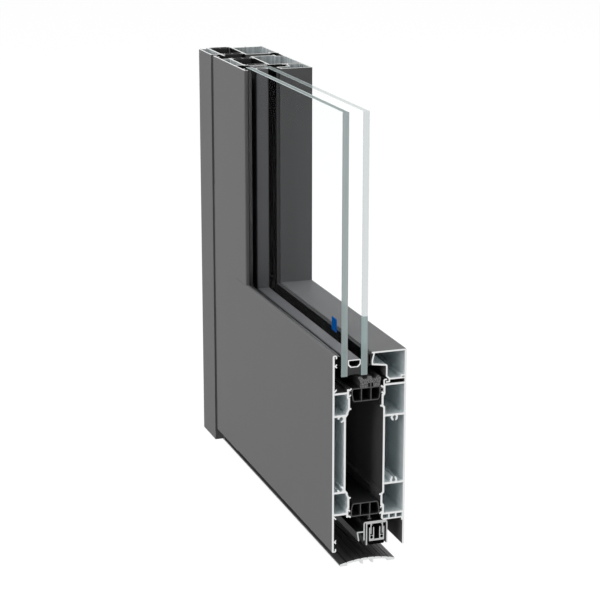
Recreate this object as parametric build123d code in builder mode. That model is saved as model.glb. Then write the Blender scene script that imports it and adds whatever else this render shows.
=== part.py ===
"""Corner section of a glazed aluminium entrance door: jamb, stile, bottom rail, glass, drop seal, threshold.

Every aluminium length is a hollow profile. Leaf profiles are drawn in two numbers: how deep a point lies
behind the exterior face, and how far it lies from the edge that faces the glass. The same drawing then
serves the rail, which runs sideways, and the stile, which stands up.
"""
import os

from build123d import *

# The whole section, in millimetres
leaf_depth = 77.0  # exterior face to interior face
rail_height = 204.5  # bottom rail, from its lower edge to the edge that faces the glass
stile_width = 118.0  # upright of the leaf
jamb_width = 48.5  # fixed upright, as seen from outside
shadow_gap = 8.0  # slot between jamb and leaf on the exterior face
glass_run = 280.0  # from the stile's glazing edge to the cut end
section_height = 457.3  # floor to the cut top
floor_gap = 16.0  # floor to the leaf's lower edge
clearance = 0.3  # between pieces that move past each other

# Walls shared by all the profiles
wall = 2.0
lip = 1.4  # thin lips and hooks
edge_round = 1.5  # outer corners of the edge hooks
claw = 1.7  # thickness of the claws that grip a bar
claw_turn = 1.0  # how far a claw's tip turns aside
plastic_wall = 0.9  # walls of the insulating bars

# Gasket grooves along the edges of the exterior shells
groove_depth = 4.5  # from the face to the tips of the lips
hook_turn = 1.7  # how far the edge hook turns back
groove_mouth = 9.0  # edge to the forked lip
fork_width = 4.0
fork_depth = 2.8  # from the face to where the lip forks
cover_tooth = 3.3  # from the first web back to the tip of the small tooth

# Leaf profile, exterior shell
exterior_rebate = 38.5  # glazing edge to the first web
exterior_body = 17.0  # depth of the shell at its bar groove
chamber_body = 18.1  # depth beside the bar
waist_body = 16.4  # depth at the second web
middle_body = 14.0  # depth in the middle of the rail
second_web = 61.5  # glazing edge to the second web
port_bore = 2.0  # screw ports
port_wall = 1.7

# Bar grooves, where aluminium grips the insulating bars
jaw_lead = 3.0  # how far the groove stands out past the web
jaw_near = 2.1  # end of the groove to the bar's foot
jaw_far = 3.0
jaw_reach = 3.0
jaw_far_reach = 2.2
foot_height = 3.8  # foot of the bar, between the claws
stop_tooth = 1.0  # radius of the small bead past the groove

# Insulating bars of the rail
bar_height = 13.9
bar_taper = 1.4
bar_round = 2.4
fin_wall = 1.5
fin_head = 3.2
fin_length = 4.3
bar_fin = 13.4  # fin of each bar, from the interior shell

# Leaf profile, interior shell
interior_rebate = 33.7  # glazing edge to the first web
interior_body = 24.0  # depth of the shell at its bar groove, from the interior face
interior_chamber_body = 25.8
interior_web = 65.7
port_ring = 3.7  # outer radius of the interior screw ports
ring_wall = 1.8
port_mouth = 2.2
bead_hook = 4.8  # how far the hook for the bead stands up
hook_curl = 3.8
hook_bend = 0.9
seal_seat = 5.4  # height of the small chambers over the drop seal
seat_step = 1.0  # how far these chambers stand out

# Glazing
pane = 6.6
pane_face = 8.7  # exterior face to the outer pane
pane_gap = 14.0
glass_edge = 22.6  # glazing edge to the edge of the glass
glass_arris = 0.5
spacer_top = 5.9
spacer_height = 8.0
spacer_wall = 1.0
spacer_chamfer = 2.6
spacer_round = 1.0
spacer_film = 0.4  # sealant between the spacer and each pane
sealant_edge = 22.0
sealant_sag = 1.2
gasket_fit = 0.2
gasket_inset = 1.0
gasket_slope = 0.8
gasket_round = 0.7
gasket_skin = 1.2

# Glazing bead
bead_wall = 1.6
bead_round = 0.8
bead_nose = 40.3  # exterior face to the side that presses the gasket
bead_lean = 2.0  # how far the upper part leans back
bead_shoulder = 8.9  # glazing edge to the end of the leaning part
bead_foot = 13.3
bead_rise = 2.2  # slope of the nose's underside
bead_setback = 2.4  # interior shell's side to the bead's upright wall
bead_heel = 26.4
bead_base = 30.1
bead_toe = 3.0  # how far the foot reaches under the hook
bead_cell = 4.0  # small cell in the bead's lower corner

# Foam strip on the upper bar
foam_width = 21.9
foam_setback = 2.5  # from the interior shell
foam_crest = 24.2  # glazing edge to the crests
foam_valley = 2.6
foam_flare = 2.4
foam_neck = 5.0
foam_lean = 1.4
foam_round = 0.7
foam_dip = 3.3  # half the width of a valley at its top
foam_dip_floor = 1.9
foam_first = 4.7  # middle of the first valley
foam_pitch = 9.9
foam_slot = 2.6

# Stile and jamb
stile_rebate_lip = 28.0
stile_setback = 25.0  # how much narrower the stile is on its interior face
stile_shoulder = 7.0  # how far the stile is wider behind the interior gasket
shoulder_setback = 10.0  # interior face to the shoulder
shoulder_lip = 3.0
break_near = 12.5  # insulated zone of the stile
break_setback = 39.0  # interior face to the end of that zone
upright_bar = 9.0
jamb_leg = 10.0  # how much further the jamb's interior reaches into the gap
jamb_stop = 13.0  # how far the stop wall reaches behind the leaf's lip
stop_depth = 11.0
anchor_reach = 7.6  # bar grooves on the jamb's back
anchor_lip = 4.6
gasket_seat = 4.0
gasket_seat_lip = 1.0
gasket_wall = 1.6
anchor_setback = 20.5
connector_height = 8.0  # block that joins threshold and jamb

# Knuckle hinge in the shadow gap
pin_depth = 3.0
pin_radius = 1.0
pin_fit = 0.05
knuckle_radius = 2.0
flap = 1.0
knuckle_count = 3

# Drop seal under the rail
seal_setback = 19.6  # interior shell's side to the adapter
seal_width = 24.2
seal_slot = 1.2  # between the adapter's leg and the housing
seal_end = 13.0  # clear of the stile's interior side
seal_arm = 7.2  # side arm of the adapter
arm_rise = 8.6  # end of the adapter's leg to the arm
seal_bend = 1.5
carrier_width = 16.1
carrier_wall = 1.1
carrier_base = 1.9
carrier_slot = 3.1
carrier_bore = 1.6
carrier_foot = 7.3  # leaf's lower edge to the carrier
carrier_height = 14.4
finger_wall = 1.1
finger_tip = 7.3
finger_barb = 1.2
seal_rise = 3.5  # leaf's lower edge to the raised rubber

# Threshold
threshold_near = 8.5
threshold_width = 58.6
threshold_crown = 6.2
threshold_edge = 2.2
threshold_plate = 2.4
threshold_foot = 2.0
threshold_pad = 8.0
foot_pitch = 11.0
rib_pitch = 7.45
rib_depth = 0.5
rib_count = 3

# Places that follow from the sizes
section_length = glass_run + stile_width + shadow_gap + jamb_width + anchor_reach
x_cut = section_length / 2
x_stile = x_cut - glass_run
x_leaf = x_stile - stile_width
x_jamb = x_leaf - shadow_gap
x_pin = x_jamb + shadow_gap / 2
y_face = -leaf_depth / 2
z_rail = floor_gap + rail_height
middle = rail_height / 2
inside_wall = leaf_depth - wall
upright_height = section_height - floor_gap
inner_pane_face = pane_face + pane + pane_gap
rail_run = glass_run + interior_rebate
groove_edge = exterior_rebate - jaw_lead
bar_seat = groove_edge + jaw_near
interior_side = leaf_depth - interior_body
interior_flank = leaf_depth - interior_chamber_body
fin_middle = interior_side - bar_fin
foam_far = interior_side - foam_setback
foam_near = foam_far - foam_width
bead_seat = interior_side + bead_setback
break_far = leaf_depth - break_setback
shoulder_depth = leaf_depth - shoulder_setback
anchor_depth = leaf_depth - anchor_setback
seal_near = interior_side - seal_setback
stile_inside = stile_width - stile_setback
bar_far_jaw = bar_seat + foot_height + jaw_far
tooth_edge = second_web - jaw_reach - wall
stile_far_web = stile_width - stile_rebate_lip
stile_far_groove = stile_far_web + jaw_lead
stile_outside = stile_inside + stile_shoulder
jamb_body = stop_depth + wall
jamb_back = jamb_width + anchor_reach
jamb_front_groove = -jaw_lead
seat_level = rail_height - interior_rebate + seal_seat
adapter_top = rail_height - seat_level
seal_run = glass_run + stile_inside - seal_end
housing_near = seal_near + lip + seal_slot
housing_far = seal_near + seal_width + lip
carrier_near = (housing_near + housing_far - carrier_width) / 2
carrier_far = carrier_near + carrier_width
threshold_run = glass_run + stile_width + shadow_gap - jamb_leg

rail_plane = Plane(origin=(x_cut, y_face, z_rail), x_dir=(0, 1, 0), z_dir=(-1, 0, 0))
stile_plane = Plane(origin=(x_stile, y_face, floor_gap), x_dir=(0, 1, 0), z_dir=(0, 0, 1))
side_plane = Plane(origin=(x_stile, y_face, z_rail), x_dir=(0, 1, 0), z_dir=(0, 0, 1))
jamb_plane = Plane(origin=(x_jamb, y_face, 0), x_dir=(0, 1, 0), z_dir=(0, 0, 1))
lower_plane = Plane(origin=(x_cut, y_face, floor_gap), x_dir=(0, 1, 0), z_dir=(1, 0, 0))
floor_plane = Plane(origin=(x_cut, y_face, 0), x_dir=(0, 1, 0), z_dir=(1, 0, 0))


def block(near, low, far, high, mode=Mode.ADD):
    """A straight wall or chamber of a profile, from one corner to the other."""
    with Locations(((near + far) / 2, (low + high) / 2)):
        Rectangle(abs(far - near), abs(high - low), mode=mode)


def outline(*points, mode=Mode.ADD):
    """A closed outline through its corners."""
    Polygon(*points, align=None, mode=mode)


def rounded(radius, *points, mode=Mode.ADD):
    """A closed outline with round corners."""
    with BuildLine() as border:
        FilletPolyline(*points, radius=radius, close=True)
    make_face(border.edges(), mode=mode)


def bent_lip(thickness, *points, bend=0.0):
    """A lip, hook or claw of even thickness with round ends, drawn along its middle line."""
    with BuildLine() as middle_line:
        if bend:
            FilletPolyline(*points, radius=bend)
        else:
            Polyline(*points)
    SlotArc(middle_line.wire(), thickness)


def gasket_groove(edge, inward):
    """Edge hook and forked lip that hold a gasket, on the inner side of an exterior face."""

    def at(distance):
        return edge + inward * distance

    tip = groove_depth - lip / 2
    start = at(lip / 2)
    bent_lip(
        lip,
        (lip / 2, at(edge_round + lip)),
        (lip / 2, start),
        (tip, start),
        (tip, at(wall + hook_turn - lip / 2)),
        bend=edge_round - lip / 2,
    )
    fork = groove_mouth + fork_width / 2
    spread = (fork_width - lip) / 2
    bent_lip(lip, (lip / 2, at(fork)), (fork_depth, at(fork)))
    bent_lip(lip, (tip, at(fork - spread)), (fork_depth, at(fork)), (tip, at(fork + spread)))


def jaws(back, outward, edge, inward):
    """Two claws that grip the foot of an insulating bar, on the back wall of its groove."""

    def at(depth, distance):
        return back + outward * depth, edge + inward * distance

    near = jaw_near - claw / 2
    bent_lip(
        claw,
        at(-claw / 2, near),
        at(jaw_reach / 2 - claw / 2, near),
        at(jaw_reach - claw / 2, near - claw_turn),
    )
    far = jaw_near + foot_height + claw / 2
    bent_lip(claw, at(-claw / 2, far + claw_turn), at(0, far + claw_turn), at(jaw_far_reach - claw / 2, far))


def mirrored(draw):
    """Both halves of the rail's profile, which is alike towards the glass and towards the floor."""
    draw(0, 1)
    draw(rail_height, -1)


def exterior_half(edge, inward):
    """Lip, web and bar groove along one edge of the rail's exterior shell."""

    def at(distance):
        return edge + inward * distance

    block(0, at(edge_round), wall, at(exterior_rebate))
    gasket_groove(edge, inward)
    tooth = exterior_rebate - cover_tooth
    bent_lip(lip, (lip / 2, at(tooth + wall)), (wall, at(tooth + wall)), (groove_depth - lip / 2, at(tooth)))
    outline(
        (0, at(exterior_rebate)),
        (exterior_body, at(exterior_rebate)),
        (exterior_body, at(bar_far_jaw)),
        (chamber_body, at(bar_far_jaw)),
        (chamber_body, at(tooth_edge)),
        (waist_body, at(second_web - wall)),
        (waist_body, at(second_web)),
        (middle_body, at(second_web + 3 * wall / 2)),
        (middle_body, middle),
        (0, middle),
    )


def exterior_chambers(edge, inward):
    """Chambers in one half of the rail's exterior shell."""

    def at(distance):
        return edge + inward * distance

    outline(
        (wall, at(exterior_rebate + wall)),
        (exterior_body - wall, at(exterior_rebate + wall)),
        (exterior_body - wall, at(bar_far_jaw)),
        (chamber_body - wall, at(bar_far_jaw + wall)),
        (chamber_body - wall, at(tooth_edge)),
        (waist_body - wall, at(second_web - wall)),
        (waist_body - wall, at(second_web)),
        (wall, at(second_web)),
        mode=Mode.SUBTRACT,
    )
    block(wall, at(second_web + wall), middle_body - wall, middle, mode=Mode.SUBTRACT)


def exterior_details(edge, inward):
    """Groove flange, jaws, tooth and screw port in one half of the rail's exterior shell."""

    def at(distance):
        return edge + inward * distance

    block(exterior_body - wall, at(groove_edge), exterior_body, at(exterior_rebate))
    jaws(exterior_body, 1, at(groove_edge), inward)
    with Locations((chamber_body + stop_tooth / 2, at(tooth_edge - stop_tooth / 2))):
        Circle(stop_tooth)
    port = (middle_body - wall - port_bore - port_wall / 2, at(second_web + wall + port_bore))
    with Locations(port):
        Circle(port_bore + port_wall)
        Circle(port_bore, mode=Mode.SUBTRACT)
    block(wall, port[1], port[0], port[1] + inward * 2 * port_bore, mode=Mode.SUBTRACT)


def bar_section(back, opposite, edge, inward, height, ribs, corner=0.0):
    """Hollow insulating bar: a tapered body with ribs, and a hollow foot in each groove."""
    near = back + jaw_reach
    far = opposite - jaw_reach

    def at(distance):
        return edge + inward * distance

    rounded(
        corner,
        (near, at(0)),
        (far, at(0)),
        (far, at(height / 2)),
        (far - bar_taper, at(height)),
        (near + bar_taper, at(height)),
        (near, at(height / 2)),
    )
    offset(amount=-plastic_wall, kind=Kind.INTERSECTION, mode=Mode.SUBTRACT)
    pitch = (far - near) / (ribs + 1)
    for number in range(1, ribs + 1):
        rib = near + number * pitch
        side = plastic_wall / 2
        block(rib - side, at(side), rib + side, at(height - side))
    heel = jaw_near + foot_height
    for end, turn in ((back, 1), (opposite, -1)):
        body = end + turn * jaw_reach
        block(end, at(jaw_near), body + turn * plastic_wall, at(heel))
        block(end + turn * plastic_wall, at(jaw_near + plastic_wall), body, at(heel - plastic_wall),
              mode=Mode.SUBTRACT)


def interior_half(edge, inward):
    """One half of the rail's interior shell, solid."""

    def at(distance):
        return edge + inward * distance

    outline(
        (leaf_depth, at(interior_rebate)),
        (interior_side, at(interior_rebate)),
        (interior_side, at(bar_far_jaw - wall)),
        (interior_flank, at(bar_far_jaw)),
        (interior_flank, at(tooth_edge)),
        (interior_side, at(tooth_edge + wall)),
        (interior_side, middle),
        (leaf_depth, middle),
    )
    jaws(interior_side, -1, at(groove_edge), inward)
    with Locations((interior_flank - stop_tooth / 2, at(tooth_edge - stop_tooth / 2))):
        Circle(stop_tooth)


def interior_chambers(edge, inward):
    """Chambers and screw port in one half of the rail's interior shell."""

    def at(distance):
        return edge + inward * distance

    outline(
        (inside_wall, at(interior_rebate + wall)),
        (interior_side + wall, at(interior_rebate + wall)),
        (interior_side + wall, at(bar_far_jaw)),
        (interior_flank + wall, at(bar_far_jaw + wall)),
        (interior_flank + wall, at(tooth_edge - wall / 2)),
        (interior_side + wall, at(tooth_edge + wall / 2)),
        (interior_side + wall, at(interior_web)),
        (inside_wall, at(interior_web)),
        mode=Mode.SUBTRACT,
    )
    block(interior_side + wall, at(interior_web + wall), inside_wall, middle, mode=Mode.SUBTRACT)


def interior_port(edge, inward):
    """Screw port under a web of the rail's interior shell."""
    centre = ((interior_side + wall + inside_wall) / 2, edge + inward * (interior_web + port_ring))
    mouth_end = centre[1] + inward * port_ring * 2
    with Locations(centre):
        Circle(port_ring)
        Circle(port_ring - ring_wall, mode=Mode.SUBTRACT)
    block(centre[0] - port_mouth / 2, centre[1], centre[0] + port_mouth / 2, mouth_end, mode=Mode.SUBTRACT)


def bead_catch():
    """Hook on the interior shell that the glazing bead snaps into."""
    hook = interior_side + lip / 2
    top = interior_rebate - bead_hook + lip / 2
    curl = interior_side + hook_curl - lip / 2
    bent_lip(lip, (hook, interior_rebate + lip / 2), (hook, top), (curl, top), bend=hook_bend)


def spacer_outline(inset, mode=Mode.ADD):
    """Outline of the spacer bar between the panes, or of its hollow."""
    near = pane_face + pane + spacer_film + inset
    far = inner_pane_face - spacer_film - inset
    top = spacer_top + inset
    bottom = spacer_top + spacer_height - inset
    rounded(
        spacer_round - inset,
        (near, top),
        (far, top),
        (far, bottom - spacer_chamfer),
        (far - spacer_chamfer, bottom),
        (near + spacer_chamfer, bottom),
        (near, bottom - spacer_chamfer),
        mode=mode,
    )


def bead_section():
    """Glazing bead: hollow body with a leaning nose, a small cell, and a foot that snaps under the hook."""
    heel = bead_seat + bead_base - bead_heel
    rounded(
        bead_round,
        (bead_nose + bead_lean, 0),
        (leaf_depth, 0),
        (leaf_depth, bead_base),
        (heel, bead_base),
        (bead_seat, bead_heel),
        (bead_seat, bead_foot + bead_rise),
        (bead_nose, bead_foot),
        (bead_nose, bead_shoulder),
    )
    offset(amount=-bead_wall, mode=Mode.SUBTRACT)
    bent_lip(bead_wall, (bead_nose + bead_wall / 2, bead_wall / 2), (bead_seat, bead_wall / 2))
    block(inside_wall, bead_round, leaf_depth, interior_rebate)
    block(inside_wall - bead_cell, bead_base - bead_cell, inside_wall, bead_base)
    block(inside_wall - bead_cell + lip, bead_base - bead_cell + lip, inside_wall, bead_base - lip,
          mode=Mode.SUBTRACT)
    catch = interior_rebate - bead_hook + lip + clearance
    toe = catch + (interior_rebate - catch) / 2
    bent_lip(lip, (heel, bead_base - bead_wall / 2), (heel, toe), (heel - bead_toe, toe))


def edge_gasket(edge, inward, reach):
    """Rubber gasket: a foot between the lips of its groove, and a head that reaches the pane or the stop."""

    def at(distance):
        return edge + inward * distance

    neck = groove_depth + gasket_fit
    end = groove_mouth + fork_width
    block(wall, at(wall + hook_turn + gasket_fit), neck + gasket_skin, at(groove_mouth - gasket_fit))
    rounded(
        gasket_round,
        (neck, at(gasket_inset)),
        (reach, at(gasket_inset + gasket_slope)),
        (reach, at(end - gasket_slope)),
        (neck, at(end)),
    )
    skin = gasket_slope + gasket_skin
    block(neck + gasket_skin, at(gasket_inset + skin), reach - gasket_skin, at(end - skin),
          mode=Mode.SUBTRACT)


def glazing_line():
    """Corner line of the glazing edges, along the rail and up the stile."""
    return Polyline((x_cut, y_face, z_rail), (x_stile, y_face, z_rail), (x_stile, y_face, section_height))


with BuildPart() as rail_exterior_shell:
    with BuildSketch(rail_plane):
        mirrored(exterior_half)
        mirrored(exterior_chambers)
        mirrored(exterior_details)
    extrude(amount=rail_run)
    with BuildSketch(rail_plane.offset(glass_run)):
        block(wall, 0, groove_depth, groove_mouth + fork_width)
    extrude(amount=interior_rebate, mode=Mode.SUBTRACT)

with BuildPart() as rail_interior_shell:
    with BuildSketch(rail_plane):
        mirrored(interior_half)
        mirrored(interior_chambers)
        mirrored(interior_port)
        bead_catch()
        seat_top = rail_height - interior_rebate
        block(inside_wall, seat_top, leaf_depth, rail_height)
        leg = interior_side - seat_step
        outline(
            (leg, seat_top - wall),
            (leg, seat_level - wall),
            (leg + wall, seat_level),
            (inside_wall, seat_level),
            (inside_wall, seat_top - wall),
        )
        cell = (inside_wall - leg - 2 * wall - lip) / 3
        for number in range(3):
            start = leg + wall + number * (cell + lip)
            block(start, seat_top, start + cell, seat_level - lip, mode=Mode.SUBTRACT)
        bent_lip(lip, (inside_wall - lip / 2, seat_level), (inside_wall - lip / 2, seat_level + wall))
    extrude(amount=rail_run)

with BuildPart() as rail_upper_bar:
    with BuildSketch(rail_plane):
        bar_section(exterior_body, interior_side, groove_edge, 1, bar_height, 2, bar_round)
        fin_end = groove_edge - fin_length
        block(fin_middle - fin_wall / 2, fin_end, fin_middle + fin_wall / 2, groove_edge + plastic_wall)
    extrude(amount=rail_run)

with BuildPart() as rail_lower_bar:
    with BuildSketch(rail_plane):
        lower_edge = rail_height - groove_edge
        bar_section(exterior_body, interior_side, lower_edge, -1, bar_height, 2, bar_round)
        fin_end = lower_edge + fin_length
        block(fin_middle - fin_wall / 2, lower_edge - plastic_wall, fin_middle + fin_wall / 2, fin_end)
        bent_lip(plastic_wall, (fin_middle - fin_head / 2, fin_end), (fin_middle + fin_head / 2, fin_end))
    extrude(amount=rail_run)

with BuildPart() as rail_foam:
    with BuildSketch(rail_plane):
        rounded(
            foam_round,
            (foam_near, groove_edge),
            (foam_near, foam_crest + foam_neck),
            (foam_near - foam_flare, foam_crest),
            (foam_far - foam_valley, foam_crest),
            (foam_far, foam_crest + foam_valley),
            (foam_far - foam_lean, groove_edge),
        )
        for number in range(2):
            dip = foam_near + foam_first + number * foam_pitch
            outline(
                (dip - foam_dip, foam_crest),
                (dip + foam_dip, foam_crest),
                (dip + foam_dip_floor, foam_crest + foam_valley),
                (dip - foam_dip_floor, foam_crest + foam_valley),
                mode=Mode.SUBTRACT,
            )
        slot_top = groove_edge - fin_length
        block(fin_middle - foam_slot, slot_top, fin_middle + foam_slot, groove_edge, mode=Mode.SUBTRACT)
    extrude(amount=rail_run)

with BuildPart() as stile_exterior_shell:
    with BuildSketch(stile_plane):
        block(0, edge_round, wall, stile_width - edge_round)
        gasket_groove(0, 1)
        gasket_groove(stile_width, -1)
        block(0, exterior_rebate, break_near, stile_far_web)
        block(wall, exterior_rebate + wall, break_near - wall, stile_far_web - wall, mode=Mode.SUBTRACT)
        block(break_near - wall, groove_edge, break_near, stile_far_groove)
        jaws(break_near, 1, groove_edge, 1)
        jaws(break_near, 1, stile_far_groove, -1)
    extrude(amount=upright_height)
    with BuildSketch(stile_plane):
        block(-clearance, -clearance, leaf_depth, interior_rebate)
    extrude(amount=rail_height, mode=Mode.SUBTRACT)

with BuildPart() as stile_interior_shell:
    with BuildSketch(stile_plane):
        block(break_far, interior_rebate, leaf_depth, stile_inside)
        block(break_far, interior_rebate, shoulder_depth, stile_outside)
        block(shoulder_depth - wall, stile_outside, shoulder_depth, stile_outside + shoulder_lip)
        block(break_far + wall, interior_rebate + wall, shoulder_depth - wall, stile_outside - wall,
              mode=Mode.SUBTRACT)
        block(break_far + wall, interior_rebate + wall, inside_wall, stile_inside - wall, mode=Mode.SUBTRACT)
        bead_catch()
        jaws(break_far, -1, groove_edge, 1)
        jaws(break_far, -1, stile_far_groove, -1)
    extrude(amount=upright_height)
    with BuildSketch(stile_plane):
        block(break_near, 0, leaf_depth, interior_rebate)
    extrude(amount=rail_height, mode=Mode.SUBTRACT)
    with BuildSketch(stile_plane):
        block(seal_near - seal_arm - clearance, interior_rebate, housing_far + clearance,
              stile_inside - seal_end + clearance)
    extrude(amount=adapter_top + clearance, mode=Mode.SUBTRACT)

with BuildPart() as stile_glazing_bar:
    with BuildSketch(stile_plane):
        bar_section(break_near, break_far, groove_edge, 1, upright_bar, 1)
    extrude(amount=upright_height)
    with BuildSketch(stile_plane):
        block(seal_near - seal_arm - clearance, interior_rebate, break_far, stile_inside)
    extrude(amount=adapter_top + clearance, mode=Mode.SUBTRACT)

with BuildPart() as stile_rebate_bar:
    with BuildSketch(stile_plane):
        bar_section(break_near, break_far, stile_far_groove, -1, upright_bar, 1)
    extrude(amount=upright_height)

with BuildPart() as stile_foam:
    with BuildSketch(side_plane.offset(-foam_crest)):
        outline(
            (break_near + jaw_reach, groove_edge),
            (break_near + jaw_reach, foam_crest + foam_valley),
            (break_near + jaw_reach + foam_valley, foam_crest),
            (break_far - jaw_reach - foam_valley, foam_crest),
            (break_far - jaw_reach, foam_crest + foam_valley),
            (break_far - jaw_reach, groove_edge),
        )
    extrude(amount=section_height - z_rail + foam_crest)

with BuildPart() as stile_gasket:
    with BuildSketch(stile_plane):
        edge_gasket(stile_width, -1, stop_depth - clearance)
    extrude(amount=upright_height)

with BuildPart() as bottom_bead:
    with BuildSketch(rail_plane):
        bead_section()
    extrude(amount=rail_run)

with BuildPart() as side_bead:
    with BuildSketch(side_plane):
        bead_section()
    extrude(amount=section_height - z_rail)

pane_length = glass_run + glass_edge
pane_height = section_height - z_rail + glass_edge
pane_middle = (x_cut - pane_length / 2, section_height - pane_height / 2)

with BuildPart() as outer_pane:
    with BuildSketch(Plane.XZ.offset(-y_face - pane_face)):
        with Locations(pane_middle):
            Rectangle(pane_length, pane_height)
    extrude(amount=-pane)
    chamfer(outer_pane.edges().filter_by(Axis.X).group_by(Axis.Z)[0], length=glass_arris)

with BuildPart() as inner_pane:
    with BuildSketch(Plane.XZ.offset(-y_face - inner_pane_face)):
        with Locations(pane_middle):
            Rectangle(pane_length, pane_height)
    extrude(amount=-pane)
    chamfer(inner_pane.edges().filter_by(Axis.X).group_by(Axis.Z)[0], length=glass_arris)

with BuildPart() as spacer_bar:
    with BuildLine():
        glazing_line()
    with BuildSketch(rail_plane):
        spacer_outline(0)
        spacer_outline(spacer_wall, mode=Mode.SUBTRACT)
    sweep(transition=Transition.RIGHT)

with BuildPart() as edge_sealant:
    with BuildLine():
        glazing_line()
    with BuildSketch(rail_plane):
        near = pane_face + pane
        block(near, spacer_top + spacer_round, inner_pane_face, sealant_edge)
        block(near + spacer_film, spacer_top, inner_pane_face - spacer_film, spacer_top + spacer_height / 2,
              mode=Mode.SUBTRACT)
        spacer_outline(0, mode=Mode.SUBTRACT)
        with BuildLine():
            base = Line((near, sealant_edge), (inner_pane_face, sealant_edge))
            ThreePointArc(base @ 0, ((near + inner_pane_face) / 2, sealant_edge - sealant_sag), base @ 1)
        make_face(mode=Mode.SUBTRACT)
    sweep(transition=Transition.RIGHT)

with BuildPart() as exterior_glazing_gasket:
    with BuildLine():
        glazing_line()
    with BuildSketch(rail_plane):
        edge_gasket(0, 1, pane_face)
    sweep(transition=Transition.RIGHT)

with BuildPart() as interior_glazing_gasket:
    with BuildLine():
        glazing_line()
    with BuildSketch(rail_plane):
        inner_face = inner_pane_face + pane
        rounded(
            gasket_round,
            (inner_face, bead_foot),
            (inner_face, gasket_inset),
            (bead_nose - gasket_fit, gasket_inset),
            (bead_nose, bead_shoulder),
            (bead_nose, bead_foot),
        )
        block(inner_face + gasket_skin, gasket_inset + gasket_skin, bead_nose - gasket_skin,
              bead_foot - gasket_skin, mode=Mode.SUBTRACT)
    sweep(transition=Transition.RIGHT)

with BuildPart() as seal_adapter:
    with BuildSketch(lower_plane):
        side = seal_near + lip / 2
        top = adapter_top - lip / 2
        leg_end = carrier_foot + lip + lip / 2
        bent_lip(lip, (side, leg_end), (side, top), (housing_far - seal_bend, top), bend=seal_bend)
        arm = leg_end + arm_rise
        outer = seal_near - seal_arm + lip / 2
        bent_lip(lip, (side, arm), (outer, arm), (outer + lip, leg_end))
    extrude(amount=-seal_run)

with BuildPart() as seal_housing:
    with BuildSketch(lower_plane):
        roof = adapter_top - lip
        rounded(
            [0, 0, seal_bend, 0],
            (housing_near, seal_rise),
            (housing_near, roof),
            (housing_far, roof),
            (housing_far, seal_rise),
        )
        block(housing_near + lip, seal_rise, housing_far - lip, roof - lip, mode=Mode.SUBTRACT)
        barb = roof - 2 * lip
        for side, inward in ((carrier_near, 1), (carrier_far, -1)):
            finger = side + inward * (carrier_wall + clearance)
            inner = finger + inward * finger_wall
            block(finger, carrier_foot + finger_tip, inner, roof - lip)
            outline((inner, barb), (inner, roof - lip), (inner + inward * finger_barb, barb))
    extrude(amount=-seal_run)

with BuildPart() as seal_carrier:
    with BuildSketch(lower_plane):
        block(carrier_near, carrier_foot, carrier_far, carrier_foot + carrier_base)
        web = carrier_foot + carrier_base + 2 * port_bore
        for side, inward in ((carrier_near, 1), (carrier_far, -1)):
            inner = side + inward * (carrier_slot + 2 * carrier_wall)
            block(side, carrier_foot, side + inward * carrier_wall, carrier_foot + carrier_height)
            block(inner - inward * carrier_wall, carrier_foot, inner, carrier_foot + carrier_height)
            block(side, carrier_foot, inner, web)
            with Locations(((side + inner) / 2, (carrier_foot + carrier_base + web) / 2)):
                Circle(carrier_bore, mode=Mode.SUBTRACT)
    extrude(amount=-seal_run)

with BuildPart() as seal_lip_strip:
    with BuildSketch(lower_plane) as lip_section:
        block(carrier_near, seal_rise, carrier_far, carrier_foot)
        fillet(lip_section.vertices().group_by(Axis.Y)[0], radius=lip)
    extrude(amount=-seal_run)

with BuildPart() as threshold:
    with BuildSketch(floor_plane):
        far = threshold_near + threshold_width
        half = threshold_near + threshold_width / 2
        with BuildLine():
            start = (threshold_near, threshold_edge)
            top = ThreePointArc(start, (half, threshold_crown), (far, threshold_edge))
            Polyline(top @ 1, (far, 0), (threshold_near, 0), top @ 0)
        make_face()
        with BuildLine():
            under = ThreePointArc(
                (threshold_near + threshold_foot, threshold_edge - threshold_plate / 2),
                (half, threshold_crown - threshold_plate),
                (far - threshold_foot, threshold_edge - threshold_plate / 2),
            )
            Polyline(under @ 1, (far - threshold_foot, 0), (threshold_near + threshold_foot, 0), under @ 0)
        make_face(mode=Mode.SUBTRACT)
        for foot in (half - foot_pitch / 2, half + foot_pitch / 2):
            block(foot - threshold_foot / 2, 0, foot + threshold_foot / 2, threshold_crown - threshold_plate)
        block(threshold_near, 0, threshold_near + threshold_pad, threshold_edge)
        block(far - threshold_pad, 0, far, threshold_edge)
        for number in range(-rib_count, rib_count + 1):
            groove = half + number * rib_pitch
            drop = (threshold_crown - threshold_edge) * (2 * number * rib_pitch / threshold_width) ** 2
            block(groove - rib_depth, threshold_crown - drop - rib_depth, groove + rib_depth, threshold_crown,
                  mode=Mode.SUBTRACT)
    extrude(amount=-threshold_run)

with BuildPart() as threshold_connector:
    with BuildSketch(jamb_plane):
        block(threshold_near, -jamb_leg, break_far - jaw_reach, 0)
    extrude(amount=threshold_crown)

with BuildPart() as jamb_exterior_shell:
    with BuildSketch(jamb_plane):
        block(0, 0, jamb_body, jamb_width)
        block(wall, wall, stop_depth, jamb_width - wall, mode=Mode.SUBTRACT)
        block(stop_depth, -jamb_stop, jamb_body, 0)
        block(stop_depth, jamb_width, jamb_body, jamb_back)
        block(groove_depth - lip, jamb_width, groove_depth, jamb_width + anchor_lip)
        jaws(jamb_body, 1, jamb_front_groove, 1)
        jaws(jamb_body, 1, jamb_back, -1)
    extrude(amount=section_height)
    with BuildSketch(jamb_plane):
        block(wall, -jamb_stop, break_far, 0)
    extrude(amount=connector_height, mode=Mode.SUBTRACT)

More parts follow.
